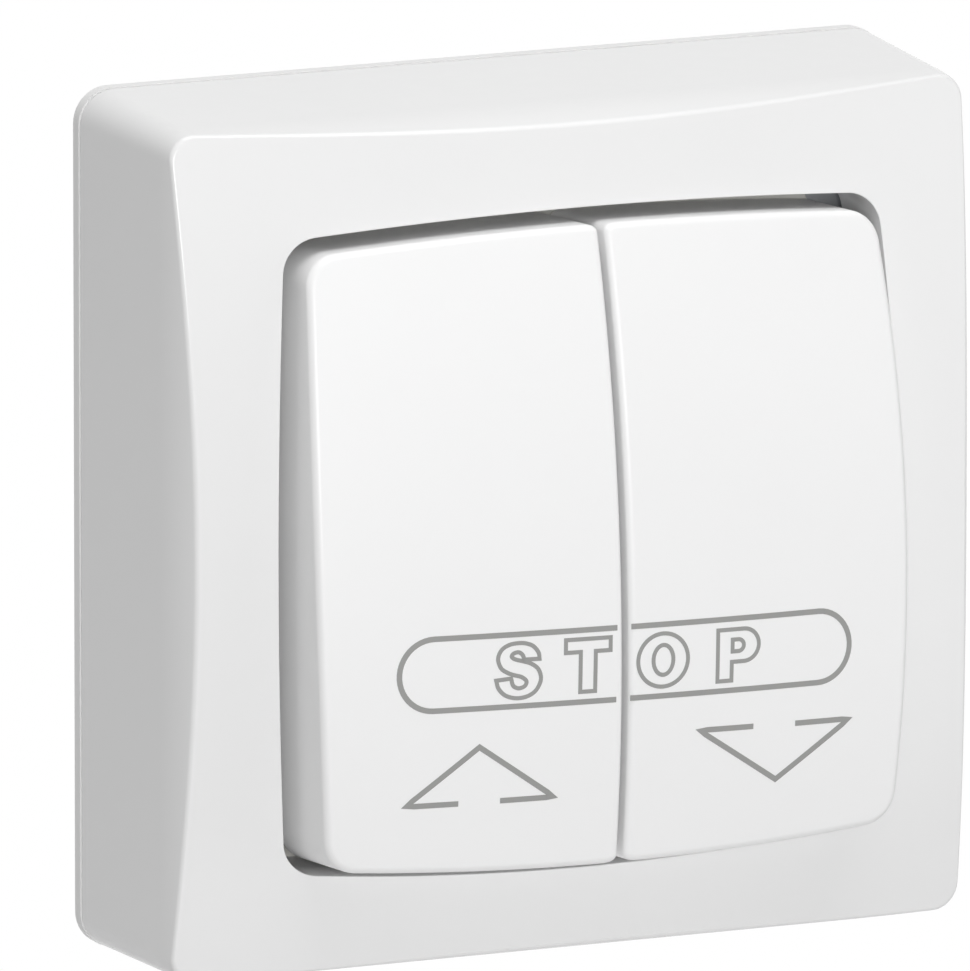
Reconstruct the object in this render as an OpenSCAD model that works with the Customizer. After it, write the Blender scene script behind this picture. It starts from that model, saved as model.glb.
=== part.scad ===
// Surface mounted roller shutter switch with two latched rockers side by side.
// The back lies in the plane Y = 0 with the origin at its centre, +Z is up and the front looks
// along -Y. Every "depth" below is measured forward from that back plane.

/* [Body] */
// Width and height at the wall
body_size = 75; // [72:0.5:84]
// Rounding of the four corners at the wall
corner_radius = 3.1; // [2.6:0.1:4.5]
// Depth of the domed front at its middle
dome_depth = 26.4; // [26:0.1:28]
// Radius of the domed front
dome_radius = 191; // [180:1:260]
// Inward lean of the side walls for each millimetre of depth
side_lean = 0.037; // [0.02:0.001:0.045]
// Depth at which the side walls start to curve inward
curve_start = 17.6; // [17:0.1:19]
// Radius of that curve
curve_radius = 17; // [15:0.5:25]
// Wall thickness of the cover
cover_wall = 2.2; // [1.9:0.1:2.5]

/* [Opening] */
// Width and height of the opening, measured across the middle
opening_size = 57.4; // [57:0.1:59]
// How far each side of the opening bows outward
opening_bulge = 1.4; // [1:0.1:1.8]
// Rounding of the opening's corners
opening_corner = 3.3; // [2.8:0.1:4]
// Wall thickness of the collar behind the opening
collar_wall = 1.4; // [1:0.1:1.8]
// Clearance between the end of the collar and the bearing plate
collar_clearance = 0.4; // [0.3:0.1:2]

/* [Wall base] */
// Thickness of the rim that shows behind the cover
rim_thickness = 1.5; // [1.3:0.1:1.9]
// Depth of the shadow step between the rim and the cover
rim_step = 0.3; // [0.2:0.05:0.4]
// Thickness of the floor
floor_thickness = 2; // [2:0.1:2.6]
// Depth that the upstand inside the cover reaches
upstand_depth = 8; // [7.8:0.1:9]
// Wall thickness of the upstand
upstand_wall = 1.4; // [1.2:0.1:1.8]
// Clearance between the upstand and the cover
cover_clearance = 0.2; // [0.15:0.05:0.3]
// Distance between the two wall screws
wall_screw_spacing = 60; // [59:0.5:61]
// Width of the slots for the wall screws
wall_slot_width = 4.2; // [3.8:0.1:4.6]
// Length of the slots for the wall screws
wall_slot_length = 6.4; // [5.6:0.2:6.4]
// Width of the cable entry
cable_entry_width = 24; // [16:1:30]
// Height of the cable entry
cable_entry_height = 7.6; // [6:0.2:8]
// Distance of the cable entry from the middle of the base
cable_entry_offset = 28; // [27.4:0.2:28.4]
// Length of each snap barb
barb_length = 8; // [6:0.5:12]
// How far a snap barb stands out
barb_height = 0.55; // [0.4:0.05:0.6]

/* [Rockers] */
// Clearance between the rockers and the opening
rocker_clearance = 1.3; // [1.3:0.1:2]
// How far the outer sides of the rockers bow outward
rocker_bulge = 1.2; // [0.9:0.1:1.4]
// Rounding of the outer corners of the rockers
rocker_corner = 3; // [2.4:0.1:3.6]
// Gap between the two rockers
rocker_gap = 0.6; // [0.5:0.1:1]
// Depth of the rocker faces at their middle, before the tilt
face_depth = 31.8; // [31:0.1:32.2]
// Radius of the rocker faces from top to bottom
face_radius_tall = 128; // [115:1:150]
// Radius of the rocker faces from side to side
face_radius_wide = 159; // [150:1:190]
// Wall thickness of the rockers
rocker_wall = 1.6; // [1.4:0.1:1.8]
// Depth at which the rocker walls end, inside
rocker_back = 17; // [16.8:0.1:18]
// Distance of the rocker axis behind the middle of the faces
pivot_setback = 7.3; // [7:0.1:7.6]
// Angle that a rocker leans either way
rocker_tilt = 4.65; // [4:0.05:5]

/* [Bearing plate] */
// Width and height of the plate
plate_size = 62; // [61:0.5:64]
// Thickness of the plate
plate_thickness = 2.2; // [2:0.1:2.4]
// Thickness of each bearing cheek
cheek_thickness = 2.2; // [1.8:0.1:2.4]
// Radius of the bearing head around the pin
cheek_radius = 2.9; // [2.6:0.1:3.2]
// Distance of the corner screws from the middle
plate_screw_offset = 27; // [26.4:0.1:27.2]

/* [Cradles] */
// Diameter of the rocker pins
pin_diameter = 3.2; // [2.8:0.1:3.6]
// Radial clearance of the pins in their bearings
pin_clearance = 0.05; // [0.03:0.01:0.08]
// How far a pin stands out beyond its cheek
pin_overhang = 0.6; // [0.4:0.1:1]
// Width of the cradle hub
hub_width = 14.2; // [13:0.2:14.4]
// Height of the cradle hub
hub_height = 8.8; // [8:0.2:9.4]
// Width of the cradle arms
arm_width = 10; // [8:0.5:12]
// Length of the cradle arms from tip to tip
arm_length = 24; // [22:0.5:26]
// Thickness of the cradle arms
arm_thickness = 2.2; // [1.8:0.1:2.4]
// Outer diameter of the plunger tube
tube_diameter = 6.8; // [6.4:0.1:7.4]
// Diameter of the plunger bore
bore_diameter = 4.4; // [4.2:0.1:4.8]
// Depth at which the plunger tube ends
tube_end = 15; // [14.9:0.1:15.6]

/* [Contacts] */
// Height of the mechanism housing
housing_height = 10; // [9.8:0.1:10.4]
// Width of the mechanism housing
housing_width = 46; // [45:0.5:47]
// Tall side of the mechanism housing
housing_tall = 44; // [43.6:0.2:45]
// Wall thickness of the mechanism housing
housing_wall = 1.6; // [1.3:0.1:1.8]
// Floor thickness of the mechanism housing
housing_floor = 1.2; // [1:0.1:1.4]
// Angle that a contact lever leans either way
lever_tilt = 8; // [7:0.1:9]
// Length of a contact lever
lever_length = 20.6; // [20:0.2:21.4]
// Width of a contact lever
lever_width = 6; // [5:0.2:6.4]
// Distance of the contact tips from the lever axis
tip_offset = 8.6; // [8.2:0.1:8.6]
// Diameter of the contact tips
tip_diameter = 3.2; // [2.8:0.1:3.4]
// Height of the contact tips
tip_height = 0.8; // [0.6:0.1:0.9]
// Thickness of the brass strips
strip_thickness = 0.8; // [0.7:0.05:0.9]
// Width of the terminal blocks
block_width = 6.4; // [6:0.1:6.6]
// Height of the terminal blocks above their strips
block_height = 6.4; // [6:0.1:6.6]
// Distance of the feed terminal from the middle of its lever
feed_offset = 4.2; // [4:0.1:4.4]
// Distance of the up terminal from the middle of its lever
up_offset = 5.3; // [5.1:0.1:5.5]
// Distance of the link strip below the contact tips
link_offset = 3; // [2.8:0.1:3.2]
// Diameter of the wire holes
wire_hole = 2.8; // [2.4:0.1:3]
// Diameter of the terminal screws
screw_diameter = 3; // [2.6:0.1:3.2]

/* [Hidden] */
$fn = 64;
big_fn = 720;
small = 0.05;

half = body_size / 2;
mid_x = face_mid();
pivot_depth = face_depth - pivot_setback;
opening_half = opening_size / 2;
pair_half = opening_half - rocker_clearance;
cavity_half = half - cover_wall - 0.3;
upstand_half = cavity_half - cover_clearance;
plate_back = floor_thickness + housing_height;
plate_front = plate_back + plate_thickness;
collar_end = plate_front + collar_clearance;
screw_clearance = 0.05;
plate_screw_radius = 1.5;
plate_head_radius = 2.8;
post_radius = 3.2;
// The corners end above the dome, which is lowest there.
corner_rise = 4;

// Middle of one rocker, from the gap to the outer side.
function face_mid() = (opening_size / 2 - rocker_clearance + rocker_gap / 2) / 2;

pin_radius = pin_diameter / 2;
cheek_near = hub_width / 2 + 0.3;
cheek_far = cheek_near + cheek_thickness;
arm_front = pivot_depth + 2.4;
arm_back = arm_front - arm_thickness;
hub_back = pivot_depth - 3.6;
spring_seat = pivot_depth - pin_radius - 0.2;

cavity_floor = floor_thickness + housing_floor;
strip_top = cavity_floor + strip_thickness;
tip_top = strip_top + tip_height;
lever_thickness = 1;
tip_radius = tip_diameter / 2;
// The lever axis lies so high that the closed pair of tips just meets.
lever_reach = (tip_offset + tip_radius) * sin(lever_tilt) + tip_height * cos(lever_tilt);
lever_axis = tip_top + lever_reach + small;
notch_half = 0.95;
notch_depth = 0.22;

// Centre of the plunger's round end below the rocker axis: it meets the leaning lever at both ends of
// the travel, with a hair of clearance.
nose_radius = 1.5;
nose_drop = ((pivot_depth - lever_axis) * cos(lever_tilt) - (lever_thickness + nose_radius + small))
    / cos(rocker_tilt + lever_tilt);
plunger_shoulder = tube_end + 0.45 * (spring_seat - tube_end);

block_z = housing_tall / 2 - housing_wall - 0.6 - block_width / 2;
feed_x = -mid_x - feed_offset;
up_x = -mid_x + up_offset;
down_x = mid_x;
wire_depth = strip_top + block_height * 0.4;
strip_gap = 0.4;
link_width = 2.8;
link_z = -tip_offset - tip_radius - link_offset;
fulcrum_foot_half = 2;
fulcrum_cheek = 0.8;
fulcrum_margin = 1.2;

// Flat outline, drawn as seen from the front, thickened from depth d0 to depth d1.
module slab(d0, d1) {
    rotate([90, 0, 0])
        translate([0, 0, d0])
            linear_extrude(d1 - d0)
                children();
}

// Side profile, drawn as (Y, Z), thickened from x0 to x1.
module across(x0, x1) {
    translate([x0, 0, 0])
        rotate([90, 0, 90])
            linear_extrude(x1 - x0)
                children();
}

// Block between two depths, centred at (x, z).
module block(x, z, width, tall, d0, d1) {
    slab(d0, d1)
        translate([x, z])
            square([width, tall], center = true);
}

// Round rod along the depth.
module rod(x, z, radius, d0, d1) {
    translate([x, -d0, z])
        rotate([90, 0, 0])
            cylinder(h = d1 - d0, r = radius);
}

module rounded_rectangle(width, tall, radius) {
    square([width, tall - 2 * radius], center = true);
    square([width - 2 * radius, tall], center = true);
    for (x = [-1, 1], z = [-1, 1])
        translate([x * (width / 2 - radius), z * (tall / 2 - radius)])
            circle(radius);
}

module rounded_square(size, radius) {
    rounded_rectangle(size, size, radius);
}

// Square whose four sides are shallow arcs, with round corners that meet the arcs smoothly.
// The corner's centre is the point that lies big - round from the centres of both arcs.
module barrel(across_half, bulge, round) {
    big = (across_half * across_half + bulge * bulge) / (2 * bulge);
    off = big - across_half;
    c = (sqrt(2 * pow(big - round, 2) - pow(off, 2)) - off) / 2;
    touch_far = -off + big * (c + off) / (big - round);
    touch_near = big * c / (big - round);
    difference() {
        intersection() {
            for_arc(off, big, 0);
            for_arc(off, big, 90);
            for_arc(off, big, 180);
            for_arc(off, big, 270);
        }
        for (turn = [0, 90, 180, 270])
            rotate(turn)
                difference() {
                    polygon([
                        [c, c], [touch_far, touch_near],
                        [across_half + 1, across_half + 1], [touch_near, touch_far]
                    ]);
                    translate([c, c])
                        circle(round);
                }
    }
}

module for_arc(off, big, turn) {
    rotate(turn)
        translate([-off, 0])
            rotate(150)
                circle(big, $fn = big_fn);
}

// Solid behind the cover's dome.
module dome(depth, radius) {
    rotate([90, 20, 0])
        rotate_extrude($fn = 180)
            intersection() {
                square([half * 1.5, depth]);
                translate([0, depth - radius])
                    circle(radius, $fn = big_fn);
            }
}

// Solid behind the rocker faces: round from top to bottom and, with a larger radius, from side to side.
module face(depth) {
    inner = face_radius_wide - depth + rocker_back - 8;
    turn = 2 * asin((pair_half + 3) / inner);
    translate([0, face_radius_wide - depth, 0])
        rotate([0, 0, -90 - turn / 2])
            rotate_extrude(angle = turn, $fn = big_fn)
                intersection() {
                    translate([inner, -pair_half - 4])
                        square([depth + 10, 2 * pair_half + 8]);
                    translate([face_radius_wide - face_radius_tall, 0])
                        circle(face_radius_tall, $fn = big_fn);
                }
}

// Cover

// Section through the body: each wall leans inward, then curves over a radius that meets it smoothly.
module section() {
    lean = atan(side_lean);
    top = dome_depth + 1;
    wall = [half - side_lean * curve_start, curve_start];
    centre = wall - curve_radius * [cos(lean), sin(lean)];
    difference() {
        polygon([
            [-half, 0], [half, 0],
            [half - side_lean * top, top], [-half + side_lean * top, top]
        ]);
        for (side = [0, 1])
            mirror([side, 0])
                difference() {
                    polygon([
                        centre, wall + 3 * [cos(lean), sin(lean)],
                        [half + 3, top + 3], [centre[0], top + 3]
                    ]);
                    translate(centre)
                        circle(curve_radius, $fn = 360);
                }
    }
}

// Bar with the body's section, which shapes one pair of opposite sides.
module side_pair(length) {
    translate([0, 0, -length / 2])
        linear_extrude(length)
            mirror([0, 1, 0])
                section();
}

// Reach of the side wall at a depth, from the same lean and curve.
function wall_reach(reach, depth) =
    let (
        lean = atan(side_lean),
        centre = [reach - side_lean * curve_start, curve_start] - curve_radius * [cos(lean), sin(lean)]
    )
    depth < curve_start
        ? reach - side_lean * depth
        : centre[0] + sqrt(pow(curve_radius, 2) - pow(depth - centre[1], 2));

// The corner rounds stand a hair proud of the walls that trim them.
module corner_rounds() {
    between = body_size - 2 * corner_radius;
    steps = 4;
    slab(-1, dome_depth + 1) {
        square([between, body_size + 2], center = true);
        square([body_size + 2, between], center = true);
    }
    for (x = [-1, 1], z = [-1, 1])
        translate([x * between / 2, 0, z * between / 2])
            rotate([90, 0, 0])
                rotate_extrude()
                    polygon(concat(
                        [[0, 0], [corner_radius + 0.03, 0]],
                        [
                            for (i = [0:steps])
                                let (depth = curve_start + i * corner_rise / steps)
                                [wall_reach(corner_radius, depth) + 0.03, depth]
                        ],
                        [[0, curve_start + corner_rise]]
                    ));
}

module cover_outside() {
    intersection() {
        intersection() {
            side_pair(body_size + 1);
            corner_rounds();
        }
        dome(dome_depth, dome_radius);
        rotate([0, 90, 0])
            side_pair(body_size + 3);
    }
}

module snap_places() {
    for (turn = [0, 90, 180, 270])
        rotate([0, turn, 0])
            children();
}

module cover_frame() {
    color([0.93, 0.93, 0.91])
        difference() {
            union() {
                difference() {
                    intersection() {
                        cover_outside();
                        slab(rim_thickness, dome_depth + 1)
                            square(body_size + 2, center = true);
                    }
                    intersection() {
                        slab(0, dome_depth)
                            rounded_square(2 * cavity_half, 1.2);
                        dome(dome_depth - cover_wall, dome_radius - cover_wall);
                    }
                }
                intersection() {
                    slab(collar_end, dome_depth)
                        barrel(opening_half + collar_wall, opening_bulge, opening_corner + collar_wall);
                    dome(dome_depth - cover_wall / 2, dome_radius - cover_wall / 2);
                }
            }
            slab(collar_end - 1, dome_depth + 1)
                barrel(opening_half, opening_bulge, opening_corner);
            snap_places()
                block(
                    0, cavity_half, barb_length + 0.6, 1.3,
                    upstand_depth - 3.2, upstand_depth - 1.4
                );
        }
}

// Wall base

// Slot with round ends.
module entry(width, height) {
    straight = width - height;
    square([straight, height], center = true);
    for (x = [-1, 1])
        translate([x * straight / 2, 0])
            circle(height / 2);
}

module corner_places() {
    for (x = [-1, 1], z = [-1, 1])
        translate([x * plate_screw_offset, 0, z * plate_screw_offset])
            children();
}

module wall_base() {
    color([0.9, 0.9, 0.88])
        difference() {
            union() {
                slab(0, rim_thickness - rim_step)
                    rounded_square(body_size, corner_radius);
                slab(0, rim_thickness)
                    rounded_square(body_size - 2 * rim_step, corner_radius - rim_step);
                slab(0, floor_thickness)
                    rounded_square(2 * upstand_half, 1);
                difference() {
                    slab(0, upstand_depth)
                        rounded_square(2 * upstand_half, 1);
                    slab(floor_thickness, upstand_depth + 1)
                        square(2 * (upstand_half - upstand_wall), center = true);
                }
                snap_places()
                    block(
                        0, upstand_half + barb_height / 2 - 0.5, barb_length, barb_height + 1,
                        upstand_depth - 3, upstand_depth - 1.6
                    );
                corner_places()
                    rod(0, 0, post_radius, floor_thickness - 1, plate_back);
                for (z = [-1, 1])
                    rod(0, z * housing_tall * 0.4, 1.2, floor_thickness - 1, floor_thickness + 1.6);
            }
            corner_places()
                rod(0, 0, plate_screw_radius + screw_clearance, floor_thickness + 1.5, plate_back + 1);
            for (x = [-1, 1])
                translate([x * wall_screw_spacing / 2, 0, 0])
                    slab(-1, floor_thickness + 1)
                        entry(wall_slot_length, wall_slot_width);
            translate([0, 0, cable_entry_offset])
                slab(-1, floor_thickness + 1)
                    entry(cable_entry_width, cable_entry_height);
            translate([0, 0, -cable_entry_offset])
                slab(0.8, floor_thickness + 1)
                    difference() {
                        entry(cable_entry_width, cable_entry_height);
                        entry(cable_entry_width - 1.6, cable_entry_height - 1.6);
                    }
        }
}

// Bearing plate

module cheek_profile() {
    difference() {
        union() {
            translate([-pivot_depth, -3.5])
                square([pivot_depth - plate_front + 0.5, 7]);
            translate([-pivot_depth, 0])
                circle(cheek_radius);
        }
        translate([-pivot_depth, 0])
            circle(pin_radius + pin_clearance);
        translate([-pivot_depth - cheek_radius - 1, -pin_radius * 0.8])
            square([cheek_radius + 1, pin_radius * 1.6]);
    }
}

module bearing_plate() {
    color([0.86, 0.86, 0.84]) {
        difference() {
            slab(plate_back, plate_front)
                rounded_square(plate_size, 3);
            for (side = [-1, 1]) {
                block(side * mid_x, 0, 4.4, 7, plate_back - 1, plate_front + 1);
                translate([side * wall_screw_spacing / 2, 0, 0])
                    block(0, 0, wall_slot_length + 2.6, 10, plate_back - 1, plate_front + 1);
            }
            for (x = [feed_x, up_x, down_x])
                rod(x, block_z, screw_diameter / 2 + 1.4, plate_back - 1, plate_front + 1);
            corner_places() {
                rod(0, 0, plate_screw_radius + screw_clearance, plate_back - 1, plate_front + 1);
                translate([0, -plate_front + 1.3, 0])
                    rotate([90, 0, 0])
                        cylinder(
                            h = 1.4, r1 = plate_screw_radius + screw_clearance,
                            r2 = plate_head_radius + screw_clearance + 0.1
                        );
            }
        }
        for (side = [-1, 1], end = [0, 1])
            translate([side * mid_x, 0, 0])
                mirror([end, 0, 0])
                    across(cheek_near, cheek_far)
                        cheek_profile();
    }
}

// Rockers and cradles

// Both rockers rest with the top in and the bottom out.
module at_rest() {
    translate([0, -pivot_depth, 0])
        rotate([-rocker_tilt, 0, 0])
            translate([0, pivot_depth, 0])
                children();
}

// Outline of the right rocker, or of the space inside its walls.
module rocker_outline(wall) {
    edge = rocker_gap / 2 + wall;
    difference() {
        intersection() {
            barrel(pair_half - wall, rocker_bulge, rocker_corner - wall);
            translate([edge, -pair_half])
                square([pair_half + 1, 2 * pair_half]);
        }
        if (wall == 0)
            for (z = [0, 1])
                mirror([0, z])
                    polygon([
                        [edge - 1, pair_half - 0.7], [edge, pair_half - 0.7], [edge + 1.3, pair_half + 0.02],
                        [edge + 1.3, pair_half + 1], [edge - 1, pair_half + 1]
                    ]);
    }
}

module rocker_right() {
    inside = pair_half - rocker_wall - rocker_gap / 2 - rocker_wall + 1;
    at_rest() {
        difference() {
            intersection() {
                slab(rocker_back, face_depth + 2)
                    rocker_outline(0);
                face(face_depth);
            }
            intersection() {
                slab(rocker_back - 1, face_depth + 2)
                    rocker_outline(rocker_wall);
                face(face_depth - rocker_wall);
            }
        }
        intersection() {
            union()
                for (end = [-1, 1]) {
                    block(mid_x, end * (arm_length / 2 - 2), inside, 1.4, arm_front, face_depth + 1);
                    block(
                        mid_x, end * (arm_length / 2 + 0.8), arm_width * 0.6, 1.2,
                        arm_back - 1, face_depth + 1
                    );
                    block(
                        mid_x, end * (arm_length / 2 + 0.3), arm_width * 0.6, 1.6,
                        arm_back - 1, arm_back - 0.2
                    );
                }
            face(face_depth - rocker_wall / 2);
        }
    }
}

module right_rocker() {
    color([0.95, 0.95, 0.94])
        rocker_right();
}

module left_rocker() {
    color([0.95, 0.95, 0.94])
        mirror([1, 0, 0])
            rocker_right();
}

module cradle(side) {
    at_rest()
        translate([side * mid_x, 0, 0])
            difference() {
                union() {
                    block(0, 0, arm_width, arm_length, arm_back, arm_front);
                    block(0, 0, hub_width, hub_height, hub_back, arm_front);
                    rod(0, 0, tube_diameter / 2, tube_end, hub_back + 1);
                    translate([-cheek_far - pin_overhang, -pivot_depth, 0])
                        rotate([0, 90, 0])
                            cylinder(h = 2 * (cheek_far + pin_overhang), r = pin_radius);
                }
                rod(0, 0, bore_diameter / 2, tube_end - 1, spring_seat);
            }
}

module left_cradle() {
    color([0.82, 0.83, 0.84])
        cradle(-1);
}

module right_cradle() {
    color([0.82, 0.83, 0.84])
        cradle(1);
}

module plunger(side) {
    nose = pivot_depth - nose_drop;
    at_rest()
        translate([side * mid_x, 0, 0]) {
            translate([0, -nose, 0])
                sphere(nose_radius);
            rod(0, 0, nose_radius, nose, tube_end + 0.6);
            rod(0, 0, bore_diameter / 2 - 0.1, tube_end + 0.4, plunger_shoulder);
            rod(0, 0, bore_diameter / 2 - 1, plunger_shoulder, plunger_shoulder + 1.2);
        }
}

module left_plunger() {
    color([0.95, 0.93, 0.85])
        plunger(-1);
}

module right_plunger() {
    color([0.95, 0.93, 0.85])
        plunger(1);
}

// Round wire wound from the plunger's shoulder to the end of the cradle's bore.
module coil(mean, wire, d0, d1, turns) {
    rings = 14 * turns;
    sides = 6;
    rise = (d1 - d0 - 2 * wire) / rings;
    points = [
        for (i = [0:rings], j = [0:sides - 1])
            let (
                turn = i * 360 / 14,
                out = mean + wire * cos(j * 360 / sides)
            )
            [
                out * cos(turn),
                -d0 - wire - i * rise + wire * sin(j * 360 / sides),
                out * sin(turn)
            ]
    ];
    walls = [
        for (i = [0:rings - 1], j = [0:sides - 1])
            let (n = (j + 1) % sides)
            [i * sides + j, (i + 1) * sides + j, (i + 1) * sides + n, i * sides + n]
    ];
    ends = [
        [for (j = [0:sides - 1]) j],
        [for (j = [0:sides - 1]) rings * sides + sides - 1 - j]
    ];
    polyhedron(points, concat(walls, ends), convexity = 8);
}

module plunger_spring(side) {
    at_rest()
        translate([side * mid_x, 0, 0])
            coil(bore_diameter / 2 - 0.5, 0.22, plunger_shoulder + 0.02, spring_seat - 0.02, 4);
}

module left_spring() {
    color([0.6, 0.6, 0.62])
        plunger_spring(-1);
}

module right_spring() {
    color([0.6, 0.6, 0.62])
        plunger_spring(1);
}

// Contacts

// Both levers rest with their lower end in.
module lever_at_rest(side) {
    translate([side * mid_x, -lever_axis, 0])
        rotate([lever_tilt, 0, 0])
            translate([0, lever_axis, 0])
                children();
}

module contact_lever(side) {
    lever_front = lever_axis + lever_thickness;
    lever_at_rest(side)
        difference() {
            block(0, 0, lever_width, lever_length, lever_axis, lever_front);
            across(-lever_width, lever_width)
                polygon([
                    [-lever_front - 1, -notch_half], [-lever_front, -notch_half],
                    [-lever_front + notch_depth, 0],
                    [-lever_front, notch_half], [-lever_front - 1, notch_half]
                ]);
        }
}

module left_contact_lever() {
    color([0.82, 0.64, 0.3])
        contact_lever(-1);
}

module right_contact_lever() {
    color([0.82, 0.64, 0.3])
        contact_lever(1);
}

module moving_tips(side) {
    lever_at_rest(side)
        for (end = [-1, 1])
            rod(0, end * tip_offset, tip_radius, lever_axis - tip_height, lever_axis);
}

module left_moving_tips() {
    color([0.85, 0.85, 0.86])
        moving_tips(-1);
}

module right_moving_tips() {
    color([0.85, 0.85, 0.86])
        moving_tips(1);
}

// Knife edge that a lever tips over, with a cheek on each side of the lever.
module fulcrum(x) {
    block(x, 0, lever_width - 0.2, 0.8, strip_top - 0.2, lever_axis - 0.12);
    for (side = [-1, 1])
        block(
            x + side * (lever_width + fulcrum_margin) / 2, 0, fulcrum_cheek, 4 * fulcrum_cheek,
            strip_top - 0.2, lever_axis + lever_thickness + 0.6
        );
}

module terminal_block(x) {
    difference() {
        block(x, block_z, block_width, block_width, strip_top - 0.2, strip_top + block_height);
        rod(
            x, block_z, screw_diameter / 2 + screw_clearance,
            wire_depth, strip_top + block_height + 1
        );
        translate([x, -wire_depth, block_z - block_width])
            cylinder(h = 2 * block_width, d = wire_hole);
    }
}

module fulcrum_foot(x) {
    translate([x - lever_width / 2 - fulcrum_margin, -fulcrum_foot_half])
        square([lever_width + 2 * fulcrum_margin, 2 * fulcrum_foot_half]);
}

module feed_terminal() {
    left = feed_x - block_width / 2;
    color([0.85, 0.68, 0.34]) {
        slab(cavity_floor, strip_top) {
            fulcrum_foot(-mid_x);
            translate([left, -fulcrum_foot_half])
                square([-mid_x - left, 2 * fulcrum_foot_half]);
            translate([left, -fulcrum_foot_half])
                square([link_width, block_z + fulcrum_foot_half]);
            translate([feed_x, block_z])
                square(block_width, center = true);
        }
        fulcrum(-mid_x);
        terminal_block(feed_x);
    }
}

module link_strip() {
    right = mid_x + feed_offset + block_width / 2;
    low = link_z - link_width / 2;
    color([0.85, 0.68, 0.34]) {
        slab(cavity_floor, strip_top) {
            translate([-mid_x - tip_radius - strip_gap, low])
                square([tip_diameter + 2 * strip_gap, -tip_offset + tip_radius + strip_gap - low]);
            translate([-mid_x, low])
                square([mid_x + right, link_width]);
            translate([right - link_width, low])
                square([link_width, fulcrum_foot_half - low]);
            translate([mid_x, -fulcrum_foot_half])
                square([right - mid_x, 2 * fulcrum_foot_half]);
            fulcrum_foot(mid_x);
        }
        fulcrum(mid_x);
    }
}

module up_terminal() {
    left = -mid_x - tip_radius - strip_gap;
    base = tip_offset - tip_radius - strip_gap;
    color([0.85, 0.68, 0.34]) {
        slab(cavity_floor, strip_top) {
            translate([left, base])
                square([up_x + block_width / 2 - left, tip_diameter + 2 * strip_gap]);
            translate([up_x - block_width / 2, base])
                square([block_width, block_z + block_width / 2 - base]);
        }
        terminal_block(up_x);
    }
}

module down_terminal() {
    base = tip_offset - tip_radius - strip_gap;
    color([0.85, 0.68, 0.34]) {
        slab(cavity_floor, strip_top)
            translate([down_x - block_width / 2, base])
                square([block_width, block_z + block_width / 2 - base]);
        terminal_block(down_x);
    }
}

module fixed_tips() {
    color([0.85, 0.85, 0.86])
        for (place = [[-mid_x, tip_offset], [-mid_x, -tip_offset], [mid_x, tip_offset]])
            rod(place[0], place[1], tip_radius, strip_top, tip_top);
}

module mechanism_housing() {
    inner_tall = housing_tall - 2 * housing_wall;
    inner_wide = (housing_width - 2 * housing_wall - 3) / 2;
    color([0.9, 0.9, 0.88])
        difference() {
            union() {
                difference() {
                    slab(floor_thickness, plate_back)
                        rounded_rectangle(housing_width, housing_tall, 2);
                    for (side = [-1, 1])
                        block(
                            side * (1.5 + inner_wide / 2), 0, inner_wide, inner_tall,
                            cavity_floor, plate_back + 1
                        );
                }
                rod(mid_x, -tip_offset, tip_radius, cavity_floor - 0.5, tip_top);
                block(
                    (feed_x + up_x) / 2, (tip_offset + 2.6 + inner_tall / 2 + 0.5) / 2, 1.2,
                    inner_tall / 2 + 0.5 - tip_offset - 2.6, cavity_floor - 0.5, plate_back - 1
                );
            }
            block(
                0, link_z, 4, link_width + 0.6,
                cavity_floor, strip_top + 0.3
            );
            for (z = [-1, 1])
                rod(0, z * housing_tall * 0.4, 1.25, floor_thickness - 1, floor_thickness + 1.8);
            for (x = [feed_x, up_x, down_x])
                translate([x, -wire_depth, inner_tall / 2 - 0.5])
                    cylinder(h = housing_wall + 1, d = wire_hole + 0.8);
        }
}

// Screws

module terminal_screws() {
    top = strip_top + block_height;
    color([0.72, 0.72, 0.72])
        for (x = [feed_x, up_x, down_x])
            difference() {
                union() {
                    rod(x, block_z, screw_diameter / 2, wire_depth + wire_hole / 2 - 0.4, top + 0.5);
                    rod(x, block_z, screw_diameter / 2 + 1, top, top + 1.8);
                }
                block(x, block_z, screw_diameter + 3, 0.8, top + 0.9, top + 3);
            }
}

module plate_screws() {
    color([0.72, 0.72, 0.72])
        corner_places()
            difference() {
                union() {
                    rod(0, 0, plate_screw_radius, floor_thickness + 2.5, plate_front - 0.2);
                    translate([0, -plate_front + 1.3, 0])
                        rotate([90, 0, 0])
                            cylinder(h = 1.3, r1 = plate_screw_radius, r2 = plate_head_radius);
                }
                block(0, 0, 2 * plate_head_radius + 1, 0.8, plate_front - 0.7, plate_front + 1);
            }
}

wall_base();
cover_frame();
left_rocker();
right_rocker();
bearing_plate();
mechanism_housing();
left_cradle();
right_cradle();
left_plunger();
right_plunger();
left_spring();
right_spring();
left_contact_lever();
right_contact_lever();
left_moving_tips();
right_moving_tips();
feed_terminal();
link_strip();
up_terminal();
down_terminal();
fixed_tips();
terminal_screws();
plate_screws();
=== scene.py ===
import math

import bpy
import numpy as np
from mathutils import Matrix, Vector


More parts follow.
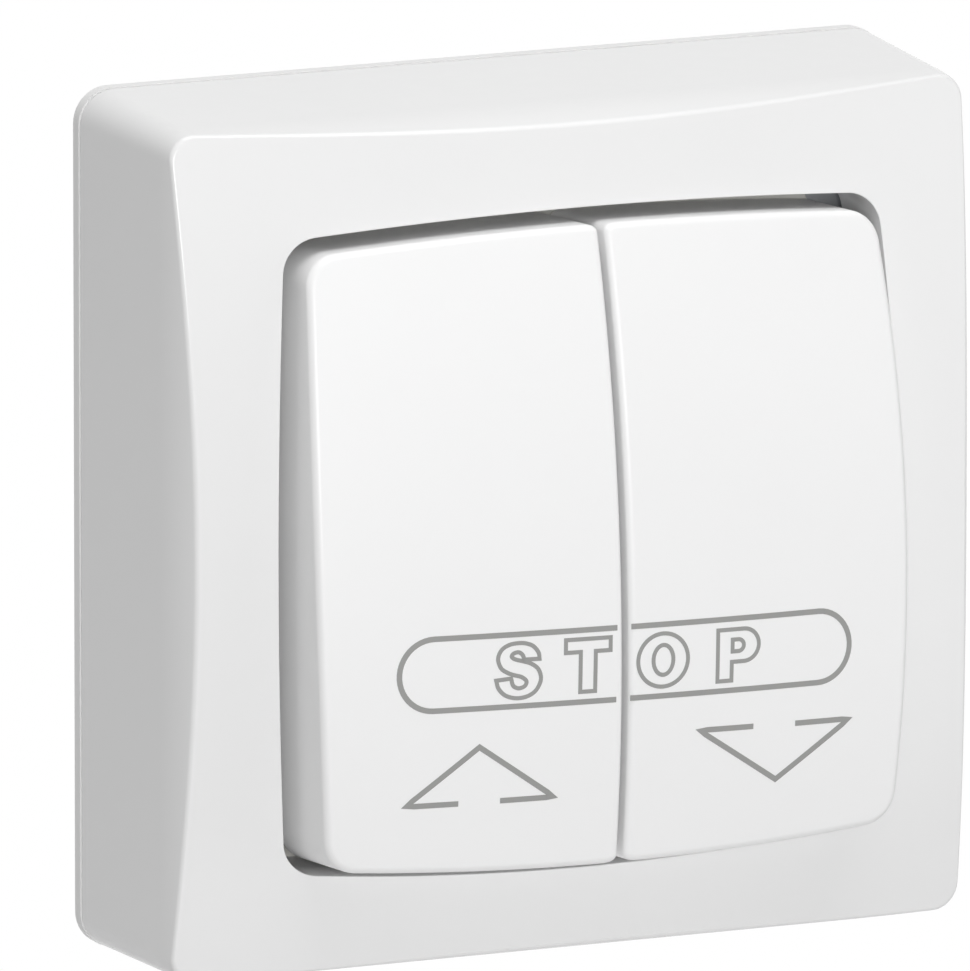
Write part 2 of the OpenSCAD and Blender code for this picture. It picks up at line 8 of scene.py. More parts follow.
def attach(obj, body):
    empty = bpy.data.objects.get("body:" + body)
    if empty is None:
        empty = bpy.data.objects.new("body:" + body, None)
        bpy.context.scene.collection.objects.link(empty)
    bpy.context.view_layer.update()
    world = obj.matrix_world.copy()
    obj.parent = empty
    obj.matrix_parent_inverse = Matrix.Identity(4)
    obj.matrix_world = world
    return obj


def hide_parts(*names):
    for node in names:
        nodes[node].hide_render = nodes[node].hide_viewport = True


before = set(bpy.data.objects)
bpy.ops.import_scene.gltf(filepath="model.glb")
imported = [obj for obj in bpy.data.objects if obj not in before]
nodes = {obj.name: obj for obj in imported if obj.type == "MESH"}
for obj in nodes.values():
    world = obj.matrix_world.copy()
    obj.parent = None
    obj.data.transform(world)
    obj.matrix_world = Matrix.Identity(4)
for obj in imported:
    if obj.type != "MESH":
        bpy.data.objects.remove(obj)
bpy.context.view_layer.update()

# Wall base: a white ABS moulding screwed to the wall. Only its rim shows behind the cover, with a
# fine shadow step all round. Its finish is a little flatter than the cover's.


def linear(colour):
    """Linear red, green, blue and alpha of an sRGB hex colour."""
    value = np.array([int(colour[i : i + 2], 16) for i in (1, 3, 5)]) / 255
    low = value / 12.92
    high = ((value + 0.055) / 1.055) ** 2.4
    return (*np.where(value <= 0.04045, low, high).tolist(), 1.0)


def add(tree, kind, settings, links=()):
    """Adds one node. Settings name its properties or its inputs, and each link is an input, the node
    that feeds it and that node's output."""
    made = tree.nodes.new(kind)
    for key, value in settings.items():
        if isinstance(key, str) and hasattr(made, key):
            setattr(made, key, value)
        else:
            made.inputs[key].default_value = value
    for socket, source, output in links:
        tree.links.new(source.outputs[output], made.inputs[socket])
    return made


cloud_size = 12


def moulded(name, colour, shade, roughness, grain, relief):
    """Moulded plastic. The colour drifts between two close tones in clouds 12 mm across, and the skin
    left by the mould is a noise of that grain and relief, both in millimetres."""
    material = bpy.data.materials.new(name)
    material.use_nodes = True
    tree = material.node_tree
    surface = tree.nodes["Principled BSDF"]
    surface.inputs["IOR"].default_value = 1.5
    place = add(tree, "ShaderNodeTexCoord", {})
    clouds = add(
        tree,
        "ShaderNodeTexNoise",
        {"Scale": 1000 / cloud_size, "Detail": 2.0},
        [("Vector", place, "Object")],
    )
    tone = add(
        tree,
        "ShaderNodeMix",
        {"data_type": "RGBA", 6: linear(colour), 7: linear(shade)},
        [("Factor", clouds, "Fac")],
    )
    skin = add(
        tree, "ShaderNodeTexNoise", {"Scale": 1000 / grain, "Detail": 3.0}, [("Vector", place, "Object")]
    )
    gloss = add(
        tree,
        "ShaderNodeMapRange",
        {"To Min": roughness - 0.03, "To Max": roughness + 0.03},
        [("Value", skin, "Fac")],
    )
    bump = add(
        tree,
        "ShaderNodeBump",
        {"Strength": 1.0, "Distance": relief / 1000},
        [("Height", skin, "Fac")],
    )
    tree.links.new(tone.outputs[2], surface.inputs["Base Color"])
    tree.links.new(gloss.outputs["Result"], surface.inputs["Roughness"])
    tree.links.new(bump.outputs["Normal"], surface.inputs["Normal"])
    return material


def dress(material, *names):
    """Gives these CAD nodes one material in every slot."""
    for name in names:
        for place in nodes[name].material_slots:
            place.material = material


# Satin ABS: a soft, even white with hardly any relief.
dress(moulded("satin_white_abs", "#EFEFEF", "#ECECEB", 0.38, 0.6, 0.004), "wall_base")

# Mechanism housing: a box of white thermoset that sits in the base and carries the contacts. It is
# pressed, so its skin is matt with a faint orange peel.
dress(moulded("matt_white_thermoset", "#E4E3DE", "#D9D8D2", 0.6, 0.45, 0.012), "mechanism_housing")

# Contacts: stamped brass strips, terminals and rocking levers, with silver alloy tips riveted on.
# Rolling leaves fine lines along the strip, 0.15 mm apart, and handling leaves duller patches.


patch_size = 4


def metal(name, colour, tarnish, roughness, line, stretch, relief):
    """Bare metal. Duller patches about 4 mm across lie over it, and the tool marks are a noise that is
    stretched along one direction, with lines that far apart and that deep in millimetres."""
    material = bpy.data.materials.new(name)
    material.use_nodes = True
    tree = material.node_tree
    surface = tree.nodes["Principled BSDF"]
    surface.inputs["Metallic"].default_value = 1.0
    place = add(tree, "ShaderNodeTexCoord", {})
    patches = add(
        tree,
        "ShaderNodeTexNoise",
        {"Scale": 1000 / patch_size, "Detail": 4.0},
        [("Vector", place, "Object")],
    )
    tone = add(
        tree,
        "ShaderNodeMix",
        {"data_type": "RGBA", 6: linear(colour), 7: linear(tarnish)},
        [("Factor", patches, "Fac")],
    )
    along = add(
        tree, "ShaderNodeMapping", {"Scale": stretch}, [("Vector", place, "Object")]
    )
    marks = add(
        tree, "ShaderNodeTexNoise", {"Scale": 1000 / line, "Detail": 2.0}, [("Vector", along, "Vector")]
    )
    gloss = add(
        tree,
        "ShaderNodeMapRange",
        {"To Min": roughness - 0.07, "To Max": roughness + 0.1},
        [("Value", patches, "Fac")],
    )
    bump = add(
        tree,
        "ShaderNodeBump",
        {"Strength": 0.8, "Distance": relief / 1000},
        [("Height", marks, "Fac")],
    )
    tree.links.new(tone.outputs[2], surface.inputs["Base Color"])
    tree.links.new(gloss.outputs["Result"], surface.inputs["Roughness"])
    tree.links.new(bump.outputs["Normal"], surface.inputs["Normal"])
    return material


# Rolled brass: warm yellow with lines along its length.
dress(
    metal("rolled_brass", "#D9B566", "#B9924A", 0.3, 0.15, (1.0, 1.0, 0.08), 0.006),
    "feed_terminal",
    "link_strip",
    "up_terminal",
    "down_terminal",
    "left_contact_lever",
    "right_contact_lever",
)
# Silver alloy: pale and soft, with a dull bloom.
dress(
    metal("silver_alloy", "#DCDAD4", "#BDB9B0", 0.34, 0.2, (1.0, 1.0, 1.0), 0.004),
    "fixed_tips",
    "left_moving_tips",
    "right_moving_tips",
)

# Screws: zinc plated steel, turned and slotted. The three terminal screws clamp the wires, and the
# four countersunk ones hold the bearing plate to the posts of the base.
dress(
    metal("zinc_plated_steel", "#C4C6C9", "#A3A6AA", 0.28, 0.12, (1.0, 0.15, 1.0), 0.004),
    "terminal_screws",
    "plate_screws",
)

# Bearing plate: off-white nylon with glass fibre, which closes the housing and carries the rockers on
# two pairs of slotted cheeks. The fibres give it a dry, slightly streaky skin.
dress(moulded("glass_filled_nylon", "#DEDDD8", "#D2D1CB", 0.52, 0.35, 0.014), "bearing_plate")

# Cradles: light grey acetal hubs with pins that snap into the cheeks, one under each rocker.
dress(moulded("grey_acetal", "#CFD1D3", "#C6C8CB", 0.42, 0.5, 0.006), "left_cradle", "right_cradle")

# Plungers: natural nylon rods, each pushed down on its contact lever by a spring in the cradle's tube.
dress(moulded("natural_nylon", "#EFEBDA", "#E6E1CC", 0.36, 0.5, 0.004), "left_plunger", "right_plunger")
# Drawn spring wire: bluish grey with a fine even grain of tool marks.
dress(
    metal("spring_wire", "#9C9EA2", "#7F8287", 0.26, 0.1, (1.0, 1.0, 1.0), 0.003),
    "left_spring",
    "right_spring",
)

# Cover: one glossy white moulding, clipped over the base. Its walls lean and curve inward to a domed
# front, whose edge is only just broken, and a collar runs back inside from the bowed opening.
cover_half = 37.5
cover_foot = 1.5
cover_lean = 0.037
cover_bend = 17.6
cover_bend_radius = 17.0
cover_corner = 3.1
cover_dome = 26.4
cover_dome_radius = 191.0
cover_skin = 2.2
cover_edge = 0.32
opening = (28.7, 1.4, 3.3)
opening_edge = 0.12
collar_skin = 1.4
collar_back = 14.6
cavity_room = 0.3
cavity_corner = 1.2
nearly_straight = 0.001
crisp_angle = math.radians(32)


def bowed_square(reach, bulge, corner, side_steps=40, corner_steps=20):
    """Outline of a square whose sides are shallow arcs. A quarter runs on the circle of one side, on
    the corner's circle and on the next side's, which meet without a kink where the circles'
    centres and the joint lie in line. Returns the points and the outward directions."""
    big = (reach**2 + bulge**2) / (2 * bulge)
    off = big - reach
    middle = (math.sqrt(2 * (big - corner) ** 2 - off**2) - off) / 2
    turn = math.atan2(middle, middle + off)
    first = np.linspace(0, turn, side_steps, endpoint=False)
    bend = np.linspace(turn, math.pi / 2 - turn, corner_steps, endpoint=False)
    last = np.linspace(math.pi / 2 - turn, math.pi / 2, side_steps, endpoint=False)
    angle = np.concatenate([first, bend, last])
    steps = [side_steps, corner_steps, side_steps]
    radius = np.repeat([big, corner, big], steps)
    centre = np.repeat([[-off, 0], [middle, middle], [0, -off]], steps, axis=0)
    out = np.column_stack([np.cos(angle), np.sin(angle)])
    points = centre + radius[:, None] * out
    quarters = [np.linalg.matrix_power(np.array([[0, 1], [-1, 0]]), k) for k in range(4)]
    return (
        np.concatenate([points @ q for q in quarters]),
        np.concatenate([out @ q for q in quarters]),
    )


def at_depth(plan, depth):
    """Points of a front outline, in millimetres, at a depth in front of the wall."""
    depth = np.broadcast_to(depth, len(plan))
    return np.column_stack([plan[:, 0], -depth, plan[:, 1]])


def dome(plan, depth, radius):
    """Depth of a ball's cap over the front outline: its crown, less what the ball falls away."""
    return depth - radius + np.sqrt(radius**2 - (plan**2).sum(1))


def rounding(before, edge, after, steps):
    """Points of a Bezier curve that turns the edge between two points off its faces. Its two ends are
    left out."""
    t = np.linspace(0, 1, steps + 1)[1:-1, None, None]
    near = before + 0.55 * (edge - before)
    far = after + 0.55 * (edge - after)
    return (
        (1 - t) ** 3 * before + 3 * (1 - t) ** 2 * t * near + 3 * (1 - t) * t**2 * far + t**3 * after
    )


def between(start, end, steps):
    """Rows that lead straight from one ring of points to another, with both ends. The second row and
    the last but one lie close to the ends, so that the shading of a round stops where it does."""
    t = np.concatenate([[0, 0.008], np.linspace(0, 1, steps + 1)[1:-1], [0.992, 1]])[:, None, None]
    return start + t * (end - start)


def skin_mesh(name, rings, poles=(), loop=False, turn=0.0):
    """A closed mesh from rings of points in millimetres. Neighbouring rings are joined by quads, each
    ring is closed on itself, poles are the two end points that close it with triangles, and a loop
    joins its last ring to its first. Turned inside out, it would enclose a negative volume, and then
    its faces are reversed. Edges sharper than 32 degrees stay crisp."""
    rows, count, _ = rings.shape
    points = rings.reshape(-1, 3)
    low = np.arange(rows if loop else rows - 1)[:, None] * count
    high = (low + count) % (rows * count)
    here = np.arange(count)[None, :]
    there = (here + 1) % count
    quads = np.stack([low + here, low + there, high + there, high + here], -1).reshape(-1, 4)
    faces = quads.tolist()
    corners = np.concatenate([quads[:, [0, 1, 2]], quads[:, [0, 2, 3]]])
    if len(poles):
        ends = len(points) + np.arange(2)
        points = np.concatenate([points, np.asarray(poles)])
        here, there = here[0], there[0]
        top = (rows - 1) * count
        first = np.column_stack([there, here, np.full(count, ends[0])])
        final = np.column_stack([top + here, top + there, np.full(count, ends[1])])
        faces += first.tolist() + final.tolist()
        corners = np.concatenate([corners, first, final])
    a, b, c = (points[corners[:, k]] for k in range(3))
    if (a * np.cross(b, c)).sum() < 0:
        faces = [face[::-1] for face in faces]
    mesh = bpy.data.meshes.new(name)
    mesh.from_pydata((points / 1000).tolist(), [], faces)
    mesh.shade_smooth()
    mesh.set_sharp_from_angle(angle=crisp_angle)
    piece = bpy.data.objects.new(name, mesh)
    bpy.context.scene.collection.objects.link(piece)
    return piece


foot, foot_out = bowed_square(cover_half, nearly_straight, cover_corner)
mouth, _ = bowed_square(*opening)
behind, _ = bowed_square(opening[0] + collar_skin, opening[1], opening[2] + collar_skin)
cavity, _ = bowed_square(cover_half - cover_skin - cavity_room, nearly_straight, cavity_corner)


def wall_plan(depth):
    """Outline of the cover's side at a depth. The wall leans in evenly, then follows a circle that
    starts where the bend does and has the wall as its tangent there."""
    lean = math.atan(cover_lean)
    across = cover_half - cover_lean * cover_bend - cover_bend_radius * math.cos(lean)
    level = cover_bend - cover_bend_radius * math.sin(lean)
    curved = across + np.sqrt(cover_bend_radius**2 - np.clip(depth - level, 0, None) ** 2)
    reach = np.where(depth < cover_bend, cover_half - cover_lean * depth, curved)
    return foot - foot_out * (cover_half - reach)[:, None]


# The side and the dome meet where each gives the other's depth, found from a first guess in rounds.
first_guess = 22.0
rounds = 30
edge_depth = np.full(len(foot), first_guess)
for _ in range(rounds):
    edge_depth = dome(wall_plan(edge_depth), cover_dome, cover_dome_radius)
edge_plan = wall_plan(edge_depth)
inward = mouth - edge_plan
inward /= np.linalg.norm(inward, axis=1)[:, None]
flat_start = edge_plan + cover_edge * inward
flat_end = mouth - opening_edge * inward
mouth_depth = dome(mouth, cover_dome, cover_dome_radius)


def skin_depth(plan):
    """Depth of the inner face of the cover's front."""
    return dome(plan, cover_dome - cover_skin, cover_dome_radius - cover_skin)


side_rows = [
    at_depth(wall_plan(level), level)
    for level in between(np.full(len(foot), cover_foot), edge_depth - cover_edge, 26)[:, 0]
]
front_rows = [
    at_depth(plan, dome(plan, cover_dome, cover_dome_radius))
    for plan in between(flat_start, flat_end, 14)
]
inner_rows = [at_depth(plan, skin_depth(plan)) for plan in between(behind, cavity, 8)]
cover_rings = np.concatenate(
    [
        side_rows,
        rounding(side_rows[-1], at_depth(edge_plan, edge_depth), front_rows[0], 8),
        front_rows,
        rounding(
            front_rows[-1], at_depth(mouth, mouth_depth), at_depth(mouth, mouth_depth - opening_edge), 6
        ),
        between(at_depth(mouth, mouth_depth - opening_edge), at_depth(mouth, collar_back), 6),
        between(at_depth(behind, collar_back), inner_rows[0], 3)[:-1],
        inner_rows,
        between(inner_rows[-1], at_depth(cavity, cover_foot), 5)[1:],
    ]
)
cover = skin_mesh("cover_skin", cover_rings, loop=True)
# Glossy ABS: neutral white, clear highlights on the edges, a very slight waviness from the mould.
cover.data.materials.append(moulded("glossy_white_abs", "#F1F1F1", "#EFEFEF", 0.24, 3.0, 0.003))
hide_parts("cover_frame")
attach(cover, "base")

# Rockers: two glossy white polycarbonate caps clipped on the cradles, a hair apart. Their faces are
# crowned both ways and lean top in, bottom out, and their edges are broken with a small round.
rocker_half = 27.4
rocker_bulge = 1.2
rocker_corner = 3.0
rocker_gap_half = 0.3
rocker_gap_corner = 1.3
inner_gap_corner = 0.4
rocker_wall = 1.6
rocker_foot = 17.0
rocker_edge = 0.6
rocker_mid = 13.75
rocker_face = 31.8
rocker_tall_radius = 128.0
rocker_wide_radius = 159.0
pivot_depth = 24.5
rocker_lean = math.radians(4.65)


def rocker_plan(wall):
    """Outline of the right rocker. Its upper half runs from the middle of the outer side over the
    corner and the bowed top to the gap, where a Bezier curve rounds the corner, and the lower half
    is its mirror image. Returns the points and the outward directions."""
    reach = rocker_half - wall
    corner = rocker_corner - wall
    big = (reach**2 + rocker_bulge**2) / (2 * rocker_bulge)
    off = big - reach
    middle = (math.sqrt(2 * (big - corner) ** 2 - off**2) - off) / 2
    turn = math.atan2(middle, middle + off)
    near = rocker_gap_half + wall
    cut = rocker_gap_corner if wall == 0 else inner_gap_corner
    side = np.linspace(0, turn, 30, endpoint=False)
    bend = np.linspace(turn, math.pi / 2 - turn, 16, endpoint=False)
    top = np.linspace(math.pi / 2 - turn, math.acos((near + cut) / big), 30)
    upper = [
        np.column_stack([big * np.cos(side) - off, big * np.sin(side)]),
        middle + corner * np.column_stack([np.cos(bend), np.sin(bend)]),
        np.column_stack([big * np.cos(top), big * np.sin(top) - off]),
    ]
    t = np.linspace(0, 1, 9)[1:, None]
    start = upper[-1][-1]
    tip = np.array([near, start[1]])
    end = tip - [0, cut * 0.6]
    upper.append((1 - t) ** 2 * start + 2 * (1 - t) * t * tip + t**2 * end)
    upper.append(np.column_stack([np.full(24, near), np.linspace(end[1], 0, 25)[1:]]))
    upper = np.concatenate(upper)
    lower = upper[-2:0:-1] * [1, -1]
    points = np.concatenate([upper, lower])
    run = np.roll(points, -1, axis=0) - np.roll(points, 1, axis=0)
    out = np.column_stack([run[:, 1], -run[:, 0]])
    return points, out / np.linalg.norm(out, axis=1)[:, None]


def face_depth(plan, below=0.0):
    """Depth of the rocker's crowned face before it leans. An arc in the upright plane is swung about
    an upright axis behind the face, so a height gives the reach from that axis, and the place across
    gives how far the face falls back on it."""
    reach = rocker_wide_radius - rocker_tall_radius
    reach = reach + np.sqrt((rocker_tall_radius - below) ** 2 - plan[:, 1] ** 2)
    return np.sqrt(reach**2 - plan[:, 0] ** 2) - rocker_wide_radius + rocker_face


def lean_back(points):
    """Turns points about the rockers' axis to the pose in which they rest."""
    y, z = points[..., 1] + pivot_depth, points[..., 2]
    c, s = math.cos(-rocker_lean), math.sin(-rocker_lean)
    return np.stack([points[..., 0], y * c - z * s - pivot_depth, y * s + z * c], -1)


outer, outer_out = rocker_plan(0.0)
inner, _ = rocker_plan(rocker_wall)
middle_plan = np.array([[rocker_mid, 0.0]])


def swept_round(angle):
    """Ring on the round of the face's edge: at 90 degrees it lies on the face and at 0 on the wall,
    and between them it keeps its distance from the circle's centre."""
    plan = outer - outer_out * rocker_edge * (1 - math.cos(angle))
    return at_depth(plan, face_depth(plan) - rocker_edge * (1 - math.sin(angle)))


face_edge = outer - outer_out * rocker_edge
inset = np.concatenate([[0, 0.004, 0.012, 0.03], np.linspace(0.06, 0.98, 24)])
face_rows = [
    at_depth(plan, face_depth(plan))
    for plan in (middle_plan + (face_edge - middle_plan) * (1 - s) for s in inset[::-1])
]
edge_rows = [swept_round(math.radians(a)) for a in np.linspace(90, 0, 11)[1:]]
inside_rows = [
    at_depth(plan, face_depth(plan, rocker_wall))
    for plan in (middle_plan + (inner - middle_plan) * s for s in np.linspace(1, 0.06, 12))
]
rocker_rings = np.concatenate(
    [
        face_rows,
        edge_rows,
        between(edge_rows[-1], at_depth(outer, rocker_foot), 10)[1:],
        between(at_depth(inner, rocker_foot), inside_rows[0], 4)[:-1],
        inside_rows,
    ]
)
rocker_poles = np.concatenate(
    [
        at_depth(middle_plan, face_depth(middle_plan)),
        at_depth(middle_plan, face_depth(middle_plan, rocker_wall)),
    ]
)
# Glossy polycarbonate: a brighter white than the cover, even, with softer highlights.
rocker_finish = moulded("glossy_white_polycarbonate", "#F6F6F6", "#F4F4F4", 0.38, 3.0, 0.002)
for hand, across in (("right", 1), ("left", -1)):
    rocker = skin_mesh(
        hand + "_rocker_skin",
        lean_back(rocker_rings) * [across, 1, 1],
        lean_back(rocker_poles) * [across, 1, 1],
    )
    rocker.data.materials.append(rocker_finish)
    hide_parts(hand + "_rocker")
    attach(rocker, hand + "_rocker_unit")

# Signs: a capsule round the word STOP across both rockers, and a broken arrow up on the left and down
# on the right. They are pad printed in mid grey ink, which stands 0.02 mm above the face.
sign_middle = np.array([0.345, -9.98])
sign_turn = math.radians(-1.0)
bold_line = 0.48
letter_line = 0.36
ink_height = 0.02


def rounded_path(points, steps=6):
    """Smooth path through points that follow each other round a bend (Catmull-Rom: each stretch
    leaves its point parallel to the line between that point's neighbours)."""
    p = np.asarray(points, float)
    p = np.concatenate([[2 * p[0] - p[1]], p, [2 * p[-1] - p[-2]]])
    t = np.linspace(0, 1, steps, endpoint=False)[None, :, None]
    a, b, c, d = (p[k : len(p) - 3 + k, None] for k in range(4))
    runs = b + 0.5 * t * (c - a + t * (2 * a - 5 * b + 4 * c - d + t * (3 * (b - c) + d - a)))
    return np.concatenate([runs.reshape(-1, 2), p[-2:-1]])


def arc_path(centre, radii, start, end, steps=24):
    """Arc of an ellipse from one angle to another, in degrees."""
    a = np.radians(np.linspace(start, end, steps))
    return np.column_stack([centre[0] + radii[0] * np.cos(a), centre[1] + radii[1] * np.sin(a)])


def subdivided(path, longest=0.8):
    """The same path with no stretch longer than that, so that a line follows the crowned face."""
    runs = np.linalg.norm(np.diff(path, axis=0), axis=1)
    parts = np.maximum(1, np.ceil(runs / longest)).astype(int)
    start = np.repeat(np.arange(len(runs)), parts)
    share = np.concatenate([np.arange(n) / n for n in parts])[:, None]
    return np.concatenate([path[start] + share * (path[start + 1] - path[start]), path[-1:]])


def inked_line(path, width, closed):
    """Both edges of a line of even width. Each point moves sideways along the bisector of its two
    stretches, further where the path turns sharply: up to 4 half widths on the inside of the turn
    and 1.5 on the outside."""
    path = subdivided(np.concatenate([path, path[:1]]) if closed else path)
    if closed:
        path = path[:-1]
    ahead = np.roll(path, -1, axis=0) - path
    ahead /= np.linalg.norm(ahead, axis=1)[:, None]
    if not closed:
        ahead[-1] = ahead[-2]
    back = np.roll(ahead, 1, axis=0)
    if not closed:
        back[0] = ahead[0]
    side_a = np.column_stack([-ahead[:, 1], ahead[:, 0]])
    side_b = np.column_stack([-back[:, 1], back[:, 0]])
    bisector = side_a + side_b
    bisector /= np.linalg.norm(bisector, axis=1)[:, None]
    stretch = 1 / np.maximum((bisector * side_a).sum(1), 0.1)
    left_turn = back[:, 0] * ahead[:, 1] - back[:, 1] * ahead[:, 0] > 0
    one = np.minimum(stretch, np.where(left_turn, 4, 1.5))[:, None]
    two = np.minimum(stretch, np.where(left_turn, 1.5, 4))[:, None]
    return path + bisector * one * width / 2, path - bisector * two * width / 2


def printed(name, lines, hand):
    """One mesh of several inked lines. Each has a flat band 0.02 mm above the leaning face and a
    lower band just under it, joined along both edges and at open ends."""
    points, faces, count = [], [], 0
    c, s = math.cos(sign_turn), math.sin(sign_turn)
    for path, width, closed in lines:
        one, two = inked_line(np.asarray(path, float), width, closed)
        bands = ((one, ink_height), (two, ink_height), (two, -ink_height), (one, -ink_height))
        for edge, lift in bands:
            plan = edge @ np.array([[c, s], [-s, c]]) + sign_middle
            points.append(lean_back(at_depth(plan, face_depth(plan) + lift)))
        n = len(one)
        here = np.arange(n if closed else n - 1)
        there = (here + 1) % n
        for k in range(4):
            low, high = count + k * n, count + (k + 1) % 4 * n
            faces += np.column_stack([low + here, low + there, high + there, high + here]).tolist()
        if not closed:
            ends = count + np.arange(4) * n
            faces += [ends[::-1].tolist(), (ends + n - 1).tolist()]
        count += 4 * n
    mesh = bpy.data.meshes.new(name)
    mesh.from_pydata((np.concatenate(points) / 1000).tolist(), [], faces)
    piece = bpy.data.objects.new(name, mesh)
    bpy.context.scene.collection.objects.link(piece)
    piece.data.materials.append(ink)
    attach(piece, hand + "_rocker_unit")
    return piece


# Pad printing ink: flat mid grey, drier than the plastic around it.
ink = moulded("grey_printing_ink", "#9B9B99", "#959593", 0.5, 0.3, 0.002)

letter_s = np.concatenate(
    [
        rounded_path(
            [
                (-8.39, 0.94), (-8.49, 1.48), (-8.95, 2.05), (-9.61, 2.33), (-10.30, 2.40),
                (-11.10, 2.30), (-11.80, 1.90), (-12.12, 1.14), (-11.84, 0.32), (-11.27, -0.10),
                (-10.67, -0.34), (-10.00, -0.54), (-9.55, -0.92), (-9.69, -1.34), (-10.24, -1.50),
                (-10.73, -1.25), (-10.93, -0.62),
            ]
        ),
        rounded_path(
            [
                (-12.26, -0.72), (-12.04, -1.43), (-11.43, -2.05), (-10.52, -2.34), (-9.50, -2.26),
                (-8.68, -1.78), (-8.24, -0.87), (-8.46, 0.01), (-9.08, 0.53), (-9.83, 0.80),
                (-10.59, 1.02), (-10.90, 1.27), (-10.73, 1.52), (-10.29, 1.61), (-9.94, 1.38),
                (-9.76, 0.95),
            ]
        ),
    ]
)  # fmt: skip
letter_t = [
    (-6.01, 2.38), (-1.91, 2.38), (-1.91, 1.28), (-3.27, 1.28), (-3.27, -2.17),
    (-4.64, -2.17), (-4.64, 1.28), (-6.01, 1.28),
]  # fmt: skip
letter_o = [
    arc_path((3.0, 0.07), (2.33, 2.3), 0, 360, 61)[:-1],
    arc_path((3.02, 0.08), (0.93, 1.29), 0, 360, 41)[:-1],
]
letter_p = [
    np.concatenate(
        [
            [(9.5, -0.57), (9.5, -2.18), (8.16, -2.18), (8.16, 2.24)],
            arc_path((10.65, 0.835), (1.42, 1.405), 90, -90),
        ]
    ),
    np.concatenate([[(9.55, 0.33), (9.55, 1.35)], arc_path((10.1, 0.84), (0.53, 0.51), 90, -90)]),
]
capsule_left = np.concatenate(
    [[(-1.3, 3.16)], arc_path((-17.77, 0.055), (3.05, 3.105), 90, 270), [(-1.3, -3.05)]]
)
capsule_right = np.concatenate(
    [[(0.0, -3.03)], arc_path((17.88, 0.065), (3.05, 3.095), -90, 90), [(0.0, 3.16)]]
)
arrow_up = [(-15.26, -11.25), (-19.96, -11.27), (-13.59, -6.41), (-6.64, -11.17), (-11.54, -11.2)]
arrow_down = [(11.76, -6.35), (6.57, -6.31), (14.13, -11.17), (21.14, -6.45), (15.82, -6.41)]
printed(
    "left_sign",
    [
        (capsule_left, bold_line, False),
        (letter_s, letter_line, True),
        (letter_t, letter_line, True),
        (arrow_up, bold_line, False),
    ],
    "left",
)
printed(
    "right_sign",
    [
        (capsule_right, bold_line, False),
        (letter_o[0], letter_line, True),
        (letter_o[1], letter_line, True),
        (letter_p[0], letter_line, True),
        (letter_p[1], letter_line, True),
        (arrow_down, bold_line, False),
    ],
    "right",
)

# Studio: the switch hangs free before plain white, over a pale round floor a quarter of a metre
# below, which fades out towards its rim. The light comes mostly from above and in front.
floor_level = -0.25
floor_radius = 0.5
fade_start = 0.38
fade_end = 0.55
floor_points = 96
around = np.linspace(0, 2 * math.pi, floor_points + 1)[:-1]
floor_mesh = bpy.data.meshes.new("floor")
floor_mesh.from_pydata(
    np.column_stack(
        [
            floor_radius * np.cos(around),
            floor_radius * np.sin(around),
            np.full(floor_points, floor_level),
        ]
    ).tolist(),
    [],
    [list(range(floor_points))],
)
floor = bpy.data.objects.new("floor", floor_mesh)
bpy.context.scene.collection.objects.link(floor)
paper = bpy.data.materials.new("matt_white_paper")
paper.use_nodes = True
tree = paper.node_tree
tree.nodes["Principled BSDF"].inputs["Base Color"].default_value = linear("#F2F2F2")
tree.nodes["Principled BSDF"].inputs["Roughness"].default_value = 0.9
place = add(tree, "ShaderNodeTexCoord", {})
from_middle = add(
    tree, "ShaderNodeVectorMath", {"operation": "LENGTH"}, [(0, place, "Object")]
)
fade = add(
    tree,
    "ShaderNodeMapRange",
    {"From Min": fade_start, "From Max": fade_end, "To Min": 1.0, "To Max": 0.0},
    [("Value", from_middle, "Value")],
)
tree.links.new(fade.outputs["Result"], tree.nodes["Principled BSDF"].inputs["Alpha"])
floor.data.materials.append(paper)

world = bpy.data.worlds.new("white_surround")
bpy.context.scene.world = world
world.use_nodes = True
tree = world.node_tree
path = add(tree, "ShaderNodeLightPath", {})
seen = add(
    tree,
    "ShaderNodeMath",
    {"operation": "MAXIMUM"},
    [(0, path, "Is Camera Ray"), (1, path, "Is Glossy Ray")],
)
seen = add(
    tree, "ShaderNodeMath", {"operation": "MAXIMUM"}, [(0, seen, 0), (1, path, "Is Transmission Ray")]
)
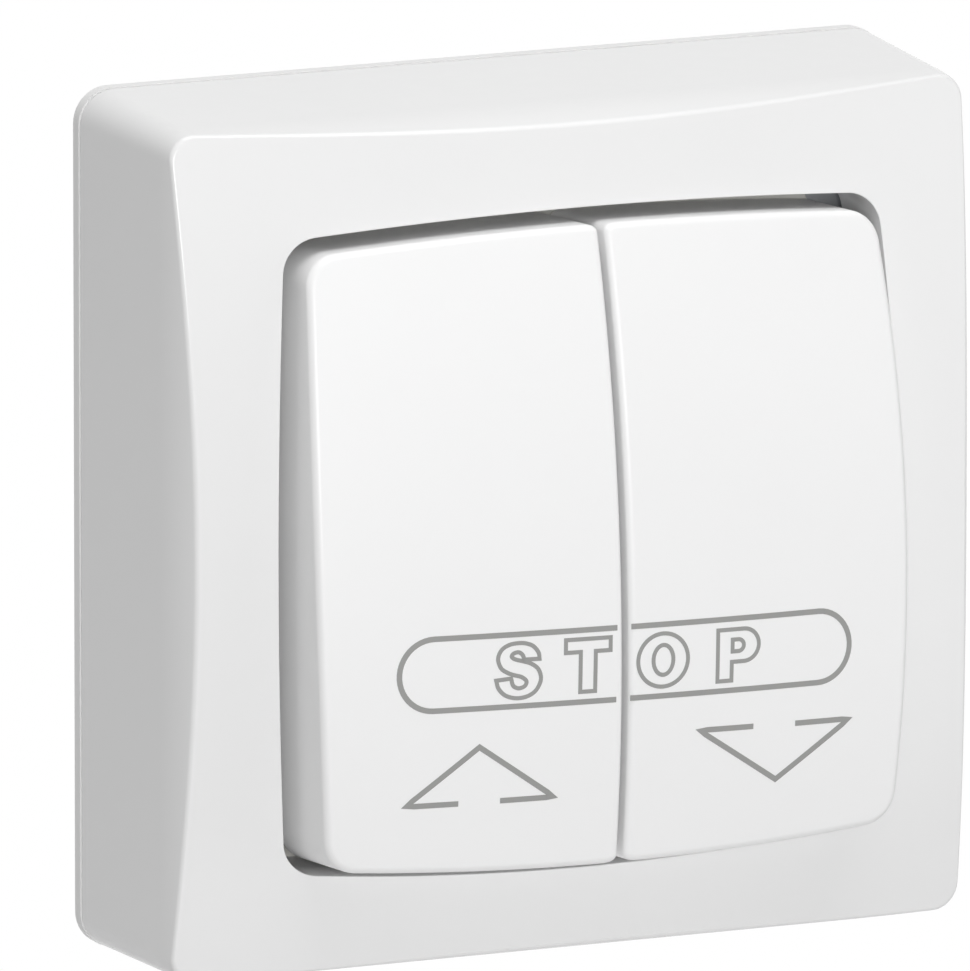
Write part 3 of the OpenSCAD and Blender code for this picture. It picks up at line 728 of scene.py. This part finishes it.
# Diffuse rays meet a dim surround, and the camera and reflections a white one.
surround_light = 0.23
strength = add(
    tree, "ShaderNodeMapRange", {"To Min": surround_light, "To Max": 1.0}, [("Value", seen, 0)]
)
tree.links.new(strength.outputs["Result"], tree.nodes["Background"].inputs["Strength"])
tree.nodes["Background"].inputs["Color"].default_value = (1.0, 1.0, 1.0, 1.0)


def softbox(name, place, size, power):
    """A square lamp at that place that faces the switch."""
    light = bpy.data.lights.new(name, "AREA")
    light.size = size
    light.energy = power
    lamp = bpy.data.objects.new(name, light)
    lamp.location = place
    lamp.rotation_euler = (-Vector(place)).to_track_quat("-Z", "Y").to_euler()
    lamp.visible_camera = False
    bpy.context.scene.collection.objects.link(lamp)


softbox("overhead_softbox", (0.0, -0.25, 1.1), 0.8, 7.3)
softbox("high_front_softbox", (0.0, -0.95, 0.95), 0.8, 1.0)
softbox("camera_softbox", (-0.45, -1.23, 0.22), 0.22, 7.2)
softbox("right_softbox", (1.1, -0.8, -0.15), 0.8, 2.25)

bpy.context.scene.view_settings.view_transform = "Standard"

# Camera: it looks down at the front from the left with a very long lens, far away.
camera_turn = math.radians(-23.3062)
camera_rise = math.radians(12.0144)
camera_roll = math.radians(0.0524)
camera_distance = 2.1318
camera_aim = Vector((0.000704, 0.0, -0.000295))
focal_pixels = 24792
frame_pixels = 971
film_width = 36
back = Vector(
    (
        math.sin(camera_turn) * math.cos(camera_rise),
        -math.cos(camera_turn) * math.cos(camera_rise),
        math.sin(camera_rise),
    )
)
right = Vector((math.cos(camera_turn), math.sin(camera_turn), 0.0))
up = back.cross(right)
across_frame = math.cos(camera_roll) * right + math.sin(camera_roll) * up
up_frame = back.cross(across_frame)
lens = bpy.data.cameras.new("camera")
lens.lens = focal_pixels * film_width / frame_pixels
lens.clip_end = 20
camera = bpy.data.objects.new("camera", lens)
camera.matrix_world = Matrix.Translation(camera_aim + back * camera_distance) @ Matrix(
    (across_frame, up_frame, back)
).transposed().to_4x4()
bpy.context.scene.collection.objects.link(camera)
bpy.context.scene.camera = camera
